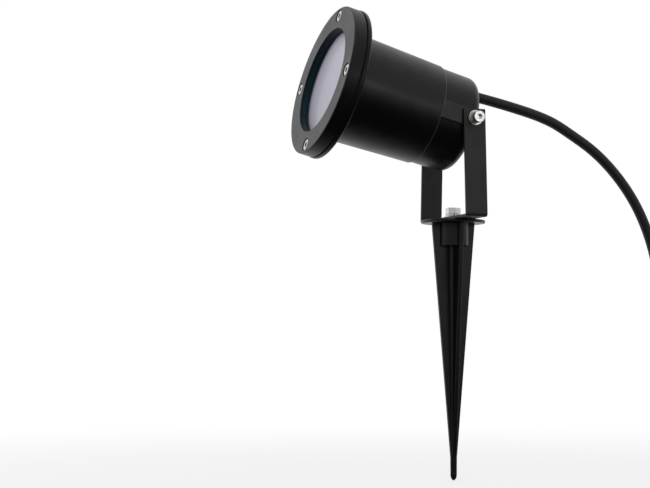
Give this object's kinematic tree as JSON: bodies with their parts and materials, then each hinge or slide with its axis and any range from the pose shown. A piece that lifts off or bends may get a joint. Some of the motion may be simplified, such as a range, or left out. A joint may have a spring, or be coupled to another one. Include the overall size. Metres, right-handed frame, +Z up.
{
  "type": "garden spike spotlight",
  "caption": "Outdoor projector lamp on a ground stake: round cast head with a screwed glass bezel, tilting in a U-shaped yoke that swivels on a finned plastic spike, with a coiled supply lead.",
  "frame": {"origin": "on the spike axis at the underside of the spike's round flange, the soil line", "axes": "+Z up along the spike, -Y the way the light points, X along the tilt axis"},
  "size_m": [0.1419, 0.3742, 0.2838],
  "materials": {
    "black_casting": "fine-texture black powder coat on die-cast aluminium",
    "black_strap": "satin black powder coat on steel strap",
    "spike_plastic": "moulded black polypropylene, slight sheen",
    "stainless": "bright stainless fasteners",
    "brass": "turned brass",
    "cable_rubber": "matt black rubber sheath",
    "brown_insulation": "brown core insulation",
    "blue_insulation": "blue core insulation",
    "earth_insulation": "green and yellow striped core insulation",
    "copper": "bare stranded copper",
    "frosted_glass": "tempered glass, satin inside",
    "silicone": "dark silicone",
    "zinc_steel": "zinc-plated steel",
    "ceramic": "unglazed white steatite ceramic",
    "clamp_plastic": "natural nylon",
    "lamp_aluminium": "satin aluminium",
    "lamp_lens": "clear lamp cover with fine dimples",
    "led_phosphor": "yellow phosphor",
    "lamp_plastic": "white moulded lamp base"
  },
  "bodies": {
    "stake": {"ground_spike": "spike_plastic", "spike_insert": "brass", "yoke_bolt": "stainless", "yoke_bolt_washer": "stainless", "yoke_bolt_spring_washer": "stainless"},
    "yoke": {"yoke_bracket": "black_strap", "power_cable": "cable_rubber", "brown_core": "brown_insulation", "blue_core": "blue_insulation", "earth_core": "earth_insulation", "bare_wire_ends": "copper"},
    "head": {"lamp_casing": "black_casting", "bezel_ring": "black_casting", "bezel_screws": "stainless", "front_glass": "frosted_glass", "glass_gasket": "silicone", "flange_gasket": "silicone", "tilt_screws": "stainless", "tilt_flat_washers": "stainless", "tilt_spring_washers": "stainless", "holder_bracket": "zinc_steel", "bracket_screws": "zinc_steel", "lamp_holder": "ceramic", "holder_screws": "zinc_steel", "holder_contacts": "brass", "cable_grommet": "silicone", "cable_clamp": "clamp_plastic", "cable_clamp_screw": "zinc_steel", "cable_tail": "cable_rubber", "brown_core_inner": "brown_insulation", "blue_core_inner": "blue_insulation", "earth_core_inner": "earth_insulation", "earth_terminal": "copper", "earth_screw": "zinc_steel"},
    "gu10_lamp": {"lamp_shell": "lamp_aluminium", "lamp_lens": "lamp_lens", "lamp_led_board": "lamp_aluminium", "lamp_led_chips": "led_phosphor", "lamp_base": "lamp_plastic", "lamp_pins": "lamp_aluminium"}
  },
  "joints": [
    {"name": "yoke_swivel", "type": "hinge", "parent": "stake", "child": "yoke", "pos_m": [0, 0, 0.0028], "axis": [0, 0, 1], "continuous": true},
    {"name": "head_tilt", "type": "hinge", "parent": "yoke", "child": "head", "pos_m": [0, 0, 0.061], "axis": [-1, 0, 0], "range_deg": [-45, 75]},
    {"name": "lamp_twist", "type": "hinge", "parent": "head", "child": "gu10_lamp", "pos_m": [0, 0, 0.061], "axis": [0, -0.9659, 0.2588], "range_deg": [0, 25]}
  ]
}
